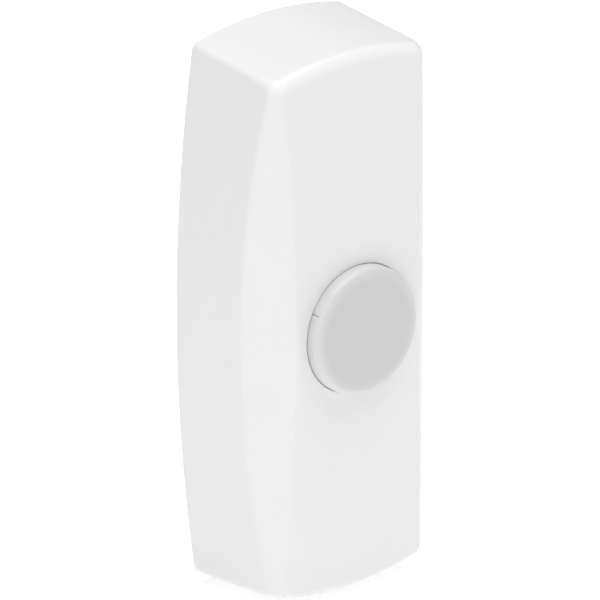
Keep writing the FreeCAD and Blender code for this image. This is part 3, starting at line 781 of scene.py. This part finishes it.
# ---- pieces ----
# The mouldings on the cover's inside. Depths are forward of the wall.
COLLAR_BORE, COLLAR_R, COLLAR_BACK, COLLAR_EASE = 10.8, 12.0, 14.6, 0.2
POST_X, POST_LOW, POST_HIGH = 9.4, -34.5, -14.5
POST_TIP_R, POST_R, POST_FOOT_R = 2.0, 2.2, 3.0
POST_EASE, FOOT_START, FOOT_END = 0.3, 14.4, 15.4
PILOT_R, PILOT_BACK, PILOT_FRONT = 0.85, 9.6, 15.1
INSIDE_BACK = 5.5
WEB_LOW, WEB_HIGH, WEB_FRONT = 4.9, 5.9, 13.8
END_WALL_LOW, END_WALL_HIGH, END_WALL_HALF, END_WALL_SHORT = 37.4, 38.4, 7.0, 1.4
RIB_PLACES, RIB_HALF, RIB_THICK, RIB_SHORT = (14.0, 22.5, 31.0), 7.4, 1.2, 0.9
# What is cut from the cover.
HOLE_LIP, LIP_EASE, SEAT_BACK = 0.04, 0.08, 14.0
BED_R, BED_LOW, BED_HIGH, BED_BACK, MOUTH_HALF = 5.3, 6.0, 37.3, 4.0, 4.8
LEAD_WAY = (6.5, 10.3, 4.0, 8.0, 4.0, 6.5)
NOTCH = (-4, 4, -1, 1.5, -44, -39.7)
POCKET_R, POCKET_HALF, POCKET_DEPTH, POCKET_IN = 0.7, 5.15, 3.2, 2.28


def post_places():
    """The board's posts: (x, z)."""
    return [(x, z) for x in (-POST_X, POST_X) for z in (POST_LOW, POST_HIGH)]


def cover_features(cover, inner):
    """The parts moulded on the cover's inside, as closed pieces that reach into its walls."""
    into_front = cover.depth - cover.front_wall / 2
    collar = [(COLLAR_BORE, COLLAR_BACK), (COLLAR_R - COLLAR_EASE, COLLAR_BACK)]
    collar += [(COLLAR_R, COLLAR_BACK + COLLAR_EASE), (COLLAR_R, into_front), (COLLAR_BORE, into_front)]
    made = [lathe("collar", collar, 0, BUTTON_Z, closed=True)]
    for x, z in post_places():
        front = float(inner.front_depth(np.array(z))) + cover.front_wall / 2
        steps = [(0.0, BOARD_FRONT), (POST_TIP_R, BOARD_FRONT), (POST_R, BOARD_FRONT + POST_EASE)]
        steps += [(POST_R, FOOT_START), (POST_FOOT_R, FOOT_END), (POST_FOOT_R, front), (0.0, front)]
        made.append(lathe("post", steps, x, z, 48))
    reach = float(inner.side_x(np.array(WEB_HIGH))) + cover.side_wall / 2
    made.append(block("web", -reach, reach, INSIDE_BACK, WEB_FRONT, WEB_LOW, WEB_HIGH))
    made.append(block("end_wall", -END_WALL_HALF, END_WALL_HALF, INSIDE_BACK, into_front - END_WALL_SHORT,
                      END_WALL_LOW, END_WALL_HIGH))
    for z in RIB_PLACES:
        made.append(block("rib", -RIB_HALF, RIB_HALF, INSIDE_BACK, into_front - RIB_SHORT, z, z + RIB_THICK))
    return made


def cover_cutters(cover):
    """Taken out of the cover: button hole and seat, cell bed, lead way, pilots, notch and snap pockets."""
    seat = seal_high[1]
    hole = bpy.context.scene.button_settings.hole_radius
    lip_back = cover.depth - HOLE_LIP - LIP_EASE
    steps = [(0.0, SEAT_BACK), (COLLAR_BORE, SEAT_BACK), (COLLAR_BORE, seat), (hole, seat), (hole, lip_back)]
    for angle in (22, 45, 67, 90):
        bend = math.radians(angle)
        steps.append((hole + HOLE_LIP * (1 - math.cos(bend)), lip_back + HOLE_LIP * math.sin(bend)))
    steps += [(hole + HOLE_LIP, cover.depth + 1), (0.0, cover.depth + 1)]
    made = [lathe("hole", steps, 0, BUTTON_Z, 160)]
    made.append(rod("bed", BED_R, 0, 0, BED_LOW, BED_HIGH, 96, CELL_DEPTH))
    made.append(block("mouth", -MOUTH_HALF, MOUTH_HALF, BED_BACK, CELL_DEPTH, BED_LOW, BED_HIGH))
    made.append(block("lead_way", *LEAD_WAY))
    for x, z in post_places():
        if (x < 0) == (z == POST_LOW):
            made.append(rod("pilot", PILOT_R, x, z, PILOT_BACK, PILOT_FRONT, 32))
    made.append(block("notch", *NOTCH))
    for side in (-1, 1):
        pocket = rod("pocket", POCKET_R, 0, 0, -POCKET_HALF, POCKET_HALF, 32, 0.0)
        made.append(placed(pocket, 0, POCKET_DEPTH, side * (cover.height / 2 - POCKET_IN), (1, 0, 0)))
    return made


class BELL_OT_cover(bpy.types.Operator):
    """Builds the front cover with its facets, rim, button hole and inner mouldings"""
    bl_idname = "bell.cover"
    bl_label = "Front cover"

    def execute(self, context):
        cover = context.scene.cover_settings
        shell, inner = cover_shell(cover)
        boolean(shell, cover_features(cover, inner), "UNION")
        boolean(shell, cover_cutters(cover), "DIFFERENCE")
        smooth(shell)
        white = moulded("cover_white", tuple(cover.tint), cover.roughness)
        finish_piece(shell, "cover", "cover_plastic", white, "front_cover")
        return {"FINISHED"}


# The cap's hollow back, in mm.
CAP_FACE, CAP_BORE_R, BORE_EASE = 1.9, 8.02, 0.2
FLANGE_THICK, FLANGE_EASE = 1.0, 0.15
STEM_R, FIN_REACH, FIN_HALF, FIN_BACK, STEM_SHORT = 1.9, 3.6, 0.5, 1.4, 1.5
FLANK_BAND, NICK_HALF, NICK_IN, NICK_OUT, NICK_BACK, NICK_FRONT = 0.6, 0.08, 0.15, 0.5, 0.5, 0.35
# Where the cap's painted edge highlight begins and where it is full, in mm in from the cap's radius.
HIGHLIGHT_BLEND_START, HIGHLIGHT_BLEND_END = 1.9, 0.1


class BELL_OT_button(bpy.types.Operator):
    """Builds the round button cap with its flange, stem and fins"""
    bl_idname = "bell.button"
    bl_label = "Button cap"

    def execute(self, context):
        button = context.scene.button_settings
        front, back = cap_high[1], cap_low[1]
        flange_back, flange_front = seal_low[1] - FLANGE_THICK, seal_low[1]
        flange_r = cap_high[0]
        shoulder = front - button.dome - button.edge_round
        flat_r = button.radius - button.edge_round
        dome_r = bow_radius(flat_r, button.dome)
        tilt = math.degrees(math.asin(flat_r / dome_r))
        bore = front - CAP_FACE
        outline = [(0.0, bore), (CAP_BORE_R - BORE_EASE, bore), (CAP_BORE_R, bore - BORE_EASE)]
        outline += [(CAP_BORE_R, flange_back), (flange_r - FLANGE_EASE, flange_back)]
        outline += [(flange_r, flange_back + FLANGE_EASE), (flange_r, flange_front - FLANGE_EASE)]
        outline += [(flange_r - FLANGE_EASE, flange_front), (button.radius, flange_front)]
        outline += [(button.radius, shoulder - FLANK_BAND)]
        outline += arc_points(flat_r, shoulder, button.edge_round, 0, 90 - tilt, 12)
        outline += arc_points(0.0, front - dome_r, dome_r, 90 - tilt, 90, 8)[1:]
        cap = lathe("button_cap_moulding", outline, 0, BUTTON_Z, 160)
        stem_end, fin_back = front - STEM_SHORT, back + FIN_BACK
        stem = rod("stem", STEM_R, 0, BUTTON_Z, back, stem_end)
        fins = [block("fin", -across, across, fin_back, stem_end, BUTTON_Z - up, BUTTON_Z + up)
                for across, up in ((FIN_REACH, FIN_HALF), (FIN_HALF, FIN_REACH))]
        boolean(cap, [stem] + fins, "UNION")
        nick = block("nick", -NICK_HALF, NICK_HALF, flange_front + NICK_BACK, shoulder + NICK_FRONT,
                     button.radius - NICK_IN, button.radius + NICK_OUT)
        round_button = Matrix.Rotation(math.pi / 2 - button.nick_turn, 4, "Y")
        nick.data.transform(Matrix.Translation((0, 0, BUTTON_Z * MM)) @ round_button)
        boolean(cap, [nick], "DIFFERENCE")
        smooth(cap)
        grey = moulded_finish("button_grey", tuple(button.tint), button.roughness, grain=0.14)
        # Painted highlight: the cap's edge is made paler in colour to stand for the light its rounding
        # catches.
        grey.painted_rim_highlight(BUTTON_Z, button.radius - HIGHLIGHT_BLEND_START, button.radius - HIGHLIGHT_BLEND_END,
                        tuple(button.rim_highlight_tint))
        finish_piece(cap, "button", "button_plastic", grey.material, "button_cap")
        return {"FINISHED"}


def dress(node, material):
    """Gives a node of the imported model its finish."""
    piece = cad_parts[node]
    piece.data.materials.clear()
    piece.data.materials.append(material)


def dress_all(material, *nodes):
    for node in nodes:
        dress(node, material)


class BELL_OT_wall_plate(bpy.types.Operator):
    """Finishes the wall plate and the silicone seal"""
    bl_idname = "bell.wall_plate"
    bl_label = "Wall plate and seal"

    def execute(self, context):
        dress("back_plate", moulded("plate_white", (0.74, 0.74, 0.73), 0.55, grain=0.3, depth=0.01))
        dress("button_seal", moulded("seal_silicone", (0.45, 0.45, 0.44), 0.7, grain=0.2))
        return {"FINISHED"}


class BELL_OT_board(bpy.types.Operator):
    """Finishes the circuit board and the small parts on it"""
    bl_idname = "bell.board"
    bl_label = "Circuit board"

    def execute(self, context):
        inside = context.scene.inside_settings
        dress("circuit_board", moulded("board_resist", tuple(inside.board_tint), 0.3, grain=0.5))
        dress_all(moulded("switch_black", (0.02, 0.02, 0.02), 0.5), "switch_body", "switch_plunger",
                  "tune_switch_body", "encoder_chip", "transistor_body", "chip_resistors")
        dress("tune_switch_plunger", moulded("plunger_cream", (0.6, 0.57, 0.48), 0.45))
        dress("chip_capacitors", moulded("ceramic_tan", (0.36, 0.24, 0.13), 0.6))
        dress_all(plated("tin", (0.62, 0.61, 0.58), 0.35), "switch_pins", "tune_switch_pins", "chip_pins",
                  "transistor_leads", "chip_part_caps", "antenna_post")
        dress_all(plated("switch_lid", (0.60, 0.60, 0.60), 0.3), "switch_frame", "tune_switch_frame")
        dress_all(plated("dome_metal", (0.66, 0.63, 0.56), 0.25), "switch_dome", "tune_switch_dome")
        dress_all(plated("can_metal", (0.72, 0.73, 0.75), 0.28), "resonator_can", "capacitor_can")
        dress("board_screws", plated("screw_zinc", (0.55, 0.56, 0.57), 0.3))
        return {"FINISHED"}


# Places on the board's face, (x, z): the switch's four legs, the leads' ends and the plated holes.
LEG_X, LEG_Z = 3.25, 2.25
LEGS = [(x, BUTTON_Z + z) for x in (-LEG_X, LEG_X) for z in (-LEG_Z, LEG_Z)]
LEAD_ENDS = [(7.4, 2.4), (9.3, 2.4)]
VIAS = ((-10.9, -4.0), (10.9, -6.5), (-6.2, -8.2), (5.6, -8.9), (-2.4, -11.4), (8.6, -11.9), (-10.4, -19.8),
        (4.3, -31.4), (9.9, -30.2), (-4.2, -35.4), (1.4, -34.9), (10.7, -35.7))
# The copper's corners, (x, z), from end to end.
ROUTES = (
    ((-3.25, -2.35), (-5.4, -4.5), (-5.4, -7.4), (-6.2, -8.2)),
    ((3.25, -2.35), (5.6, -4.7), (5.6, -8.9)),
    ((7.4, 2.4), (7.4, -3.0), (10.9, -6.5)),
    ((9.3, 2.4), (11.2, 0.5), (11.2, -9.3), (8.6, -11.9)),
    ((-3.25, 2.15), (-10.9, 2.15), (-10.9, -4.0)),
    ((-2.4, -11.4), (-5.2, -14.2), (-5.2, -16.6)),
    ((8.6, -11.9), (8.6, -13.6), (6.8, -15.4)),
    ((-10.4, -19.8), (-10.4, -30.0), (-8.5, -31.9), (-7.4, -31.9)),
    ((4.3, -31.4), (1.4, -34.3), (1.4, -34.9)),
    ((9.9, -30.2), (9.9, -24.0), (8.0, -22.1)),
    ((-7.4, -31.9), (-7.4, -32.2), (-4.2, -35.4)),
    ((10.7, -35.7), (3.0, -35.7), (2.2, -34.9), (1.4, -34.9)),
)
TRACE_HALF, TRACE_LIFT = 0.22, 0.035

# Turned outlines, (radius, height above the board); each starts just under its face.
FILLET = ((0.0, -0.05), (1.0, -0.05), (1.0, 0.02), (0.86, 0.07), (0.72, 0.15), (0.61, 0.27), (0.54, 0.42),
          (0.48, 0.58), (0.4, 0.68), (0.0, 0.72))
MOUND = ((0.0, -0.05), (1.05, -0.05), (1.05, 0.03), (0.98, 0.14), (0.84, 0.27), (0.68, 0.36), (0.5, 0.4),
         (0.0, 0.4))
PAD = ((0.0, -0.05), (1.25, -0.05), (1.25, 0.04), (1.2, 0.055), (0.0, 0.055))
VIA_RING = ((0.22, -0.05), (0.5, -0.05), (0.5, 0.045), (0.46, 0.06), (0.26, 0.06), (0.22, 0.02),
            (0.22, -0.05))


def board_traces(material):
    """Copper routes under the resist, on both faces of the board."""
    points, faces = [], []
    sides = [(0, 1, 3, 2), (4, 6, 7, 5), (0, 4, 5, 1), (1, 5, 7, 3), (3, 7, 6, 2), (2, 6, 4, 0)]
    for face, out in ((BOARD_FRONT, 1), (BOARD_BACK, -1)):
        for route in ROUTES:
            for start, end in zip(route, route[1:]):
                along = Vector((end[0] - start[0], end[1] - start[1])).normalized()
                across = Vector((-along.y, along.x)) * TRACE_HALF
                corners = []
                for place, reach in ((start, -0.5), (end, 0.5)):
                    middle = Vector(place) + along * TRACE_HALF * reach
                    corners += [middle + across, middle - across]
                base = len(points)
                for depth in (face - out * TRACE_LIFT, face + out * TRACE_LIFT):
                    points += [(corner.x, depth, corner.y) for corner in corners]
                faces += [tuple(base + number for number in side) for side in sides]
    traces = outward(mesh_piece("board_traces", points, faces))
    return finish_piece(traces, "cover", "board_laminate", material)


def at_depth(depth, places):
    return [(x, depth, z) for x, z in places]


class BELL_OT_joints(bpy.types.Operator):
    """Builds the board's solder joints, pads, plated holes and copper routes"""
    bl_idname = "bell.joints"
    bl_label = "Solder and copper"

    def execute(self, context):
        inside = context.scene.inside_settings
        solder = plated("solder", (0.70, 0.71, 0.72), 0.18)
        joints = scattered("solder_fillets", FILLET, at_depth(BOARD_BACK, LEGS + [FEED]), solder)
        finish_piece(smooth(joints, 50), "cover", "solder", solder, "solder_joints")
        mounds = scattered("lead_solder", MOUND, at_depth(BOARD_BACK, LEAD_ENDS), solder)
        finish_piece(smooth(mounds, 50), "cover", "solder", solder)
        tin = plated("pad_tin", (0.66, 0.64, 0.58), 0.3)
        pads = scattered("solder_pads", PAD, at_depth(BOARD_BACK, LEGS + [FEED] + LEAD_ENDS), tin)
        finish_piece(smooth(pads), "cover", "tinned_metal", tin)
        for name, depth, out in (("vias_back", BOARD_BACK, 1), ("vias_front", BOARD_FRONT, -1)):
            rings = scattered(name, VIA_RING, at_depth(depth, VIAS), tin, (0, out, 0), 20)
            finish_piece(smooth(rings), "cover", "tinned_metal", tin)
        board_traces(moulded("traced_resist", scaled(tuple(inside.board_tint), 1.7), 0.27, grain=0.5))
        return {"FINISHED"}


# Wire radii, turns and closed end turns of the springs; the aerial's radius is to the wire's middle.
RETURN_WIRE_R, RETURN_CLOSED = 0.2, 0.75
CELL_WIRE_R, CELL_TURNS, CELL_CLOSED = 0.25, 3, 0.5
AERIAL_WIRE_R, AERIAL_R, AERIAL_TURNS = 0.3, 2.0, 9


class BELL_OT_springs(bpy.types.Operator):
    """Winds the button's return spring, the cell's contact spring and the aerial"""
    bl_idname = "bell.springs"
    bl_label = "Springs and aerial"

    def execute(self, context):
        inside = context.scene.inside_settings
        steel = plated("spring_wire", (0.60, 0.60, 0.61), 0.22)
        whole = coil_high[1] - coil_low[1]
        pitch = (whole - 2 * RETURN_WIRE_R) / inside.spring_turns
        spring = coil_piece("return_spring", steel, RETURN_WIRE_R, coil_high[0] - RETURN_WIRE_R,
                            inside.spring_turns, pitch, RETURN_CLOSED)
        placed(spring, 0, coil_low[1] + RETURN_WIRE_R, BUTTON_Z, (0, -1, 0))
        finish_piece(smooth(spring, 60), "cover", "spring_steel", steel, "button_spring")
        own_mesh(spring)
        nickel = plated("contact_wire", (0.66, 0.63, 0.57), 0.24)
        pitch = (contact_high[2] - contact_low[2] - 2 * CELL_WIRE_R) / CELL_TURNS
        contact = coil_piece("cell_spring", nickel, CELL_WIRE_R, contact_high[0] - CELL_WIRE_R, CELL_TURNS,
                             pitch, CELL_CLOSED)
        placed(contact, 0, CELL_DEPTH, contact_low[2] + CELL_WIRE_R, (0, 0, 1))
        finish_piece(smooth(contact, 60), "cover", "contact_metal", nickel, "contact_spring")
        copper = plated("copper_lacquer", (0.62, 0.24, 0.10), 0.25)
        pitch = (aerial_high[0] - aerial_low[0] - 2 * AERIAL_WIRE_R) / AERIAL_TURNS
        aerial = coil_piece("aerial_wire", copper, AERIAL_WIRE_R, AERIAL_R, AERIAL_TURNS, pitch)
        middle = (aerial_low[1] + aerial_high[1]) / 2
        placed(aerial, aerial_low[0] + AERIAL_WIRE_R, middle, FEED[1], (1, 0, 0))
        finish_piece(smooth(aerial, 60), "cover", "copper_wire", copper, "antenna_coil")
        return {"FINISHED"}


class BELL_OT_cell(bpy.types.Operator):
    """Finishes the cell, its contacts and the two leads"""
    bl_idname = "bell.cell"
    bl_label = "Cell and contacts"

    def execute(self, context):
        inside = context.scene.inside_settings
        dress("cell_can", moulded("sleeve_dark", tuple(inside.sleeve_tint), 0.28, grain=0.8))
        dress("cell_insulator", moulded("sleeve_gold", (0.42, 0.27, 0.07), 0.28, grain=0.8))
        dress_all(plated("contact_nickel", (0.66, 0.63, 0.57), 0.24), "cell_positive",
                  "positive_contact", "negative_contact")
        dress("positive_lead", moulded("lead_red", (0.42, 0.02, 0.015), 0.35))
        dress("negative_lead", moulded("lead_black", (0.02, 0.02, 0.02), 0.35))
        return {"FINISHED"}


# ---- stage ----
# Each softbox's setting, its side in m and the direction it stands in.
SOFTBOXES = (
    ("key", 0.6, (0.61, -0.38, 0.69)),
    ("front", 0.6, (-0.62, -0.74, 0.2)),
    ("high", 0.6, (-0.37, -0.70, 0.61)),
    ("top", 0.9, (0.0, -0.1, 1.0)),
    ("left", 0.8, (-1.0, 0.1, 0.25)),
    ("right", 0.8, (1.0, -0.2, 0.25)),
)
SOFTBOX_AWAY = 1.0
FLOOR_HALF = 3.0
SENSOR_WIDTH = 36.0
AIM_DEPTH, AIM_RIGHT, AIM_UP = 11, -2.44, 1.33


def softbox(name, power, size, direction, aim):
    """A square soft light that looks at aim from a direction."""
    lamp = bpy.data.lights.new(name, "AREA")
    lamp.shape = "SQUARE"
    lamp.size = size
    lamp.energy = power
    holder = bpy.data.objects.new(name, lamp)
    way = Vector(direction).normalized()
    holder.location = aim + way * SOFTBOX_AWAY
    holder.rotation_mode = "QUATERNION"
    holder.rotation_quaternion = way.to_track_quat("Z", "Y")
    holder.visible_camera = False
    bpy.context.scene.collection.objects.link(holder)


class BELL_OT_stage(bpy.types.Operator):
    """Adds the pale floor, the soft studio light and the camera"""
    bl_idname = "bell.stage"
    bl_label = "Stage, light and camera"

    def execute(self, context):
        stage = context.scene.stage_settings
        scene = context.scene
        scene.view_settings.view_transform = "Standard"
        low, high = cad_bounds
        middle = (low + high) / 2
        mesh = bpy.data.meshes.new("floor")
        corners = [(FLOOR_HALF * x, FLOOR_HALF * y, low.z) for x, y in ((-1, -1), (1, -1), (1, 1), (-1, 1))]
        mesh.from_pydata(corners, [], [(0, 1, 2, 3)])
        floor = link("floor", mesh)
        finish = Finish("floor_pale")
        pale = (stage.floor_tint,) * 3
        finish.tinted(finish.noise(40.0, 2.0), scaled(pale, 0.995), pale)
        finish.set(roughness=0.9, emission_color=(1.0, 1.0, 1.0, 1.0), emission_strength=stage.floor_glow)
        floor.data.materials.append(finish.material)

        world = bpy.data.worlds.new("even_white")
        world.use_nodes = True
        surround = world.node_tree.nodes["Background"]
        surround.inputs["Color"].default_value = (1.0, 1.0, 1.0, 1.0)
        surround.inputs["Strength"].default_value = stage.sky_strength
        scene.world = world
        for name, size, direction in SOFTBOXES:
            softbox(name + "_softbox", getattr(stage, name + "_power"), size, direction, middle)

        lens = bpy.data.cameras.new("camera")
        lens.sensor_width = SENSOR_WIDTH
        lens.lens = stage.lens
        lens.clip_start, lens.clip_end = 0.05, 10.0
        camera = bpy.data.objects.new("camera", lens)
        scene.collection.objects.link(camera)
        around, rise = stage.azimuth, stage.elevation
        back = Vector((math.sin(around) * math.cos(rise), -math.cos(around) * math.cos(rise), math.sin(rise)))
        facing = (-back).to_track_quat("-Z", "Y")
        aim = spot(0, AIM_DEPTH, 0) + facing @ Vector((AIM_RIGHT, AIM_UP, 0)) * MM
        camera.location = aim + back * stage.distance
        camera.rotation_mode = "QUATERNION"
        camera.rotation_quaternion = facing
        scene.camera = camera
        return {"FINISHED"}


class BELL_PT_panel(bpy.types.Panel):
    """Lists the pieces in the order they are built"""
    bl_idname = "BELL_PT_panel"
    bl_label = "Bell push"
    bl_space_type = "VIEW_3D"
    bl_region_type = "UI"
    bl_category = "Bell push"

    def draw(self, context):
        for operator in OPERATORS:
            self.layout.operator(operator.bl_idname)


SETTINGS = {"cover_settings": CoverSettings, "button_settings": ButtonSettings,
            "inside_settings": InsideSettings, "stage_settings": StageSettings}
OPERATORS = (BELL_OT_stage, BELL_OT_cover, BELL_OT_button, BELL_OT_wall_plate, BELL_OT_board,
             BELL_OT_joints, BELL_OT_springs, BELL_OT_cell)


def register():
    for name, group in SETTINGS.items():
        bpy.utils.register_class(group)
        setattr(bpy.types.Scene, name, PointerProperty(type=group))
    for operator in OPERATORS + (BELL_PT_panel,):
        bpy.utils.register_class(operator)


def unregister():
    for operator in reversed(OPERATORS + (BELL_PT_panel,)):
        bpy.utils.unregister_class(operator)
    for name, group in SETTINGS.items():
        delattr(bpy.types.Scene, name)
        bpy.utils.unregister_class(group)


def main():
    register()
    bpy.ops.bell.stage()
    bpy.ops.bell.cover()
    bpy.ops.bell.button()
    bpy.ops.bell.wall_plate()
    bpy.ops.bell.board()
    bpy.ops.bell.joints()
    bpy.ops.bell.springs()
    bpy.ops.bell.cell()


if __name__ == "__main__":
    main()
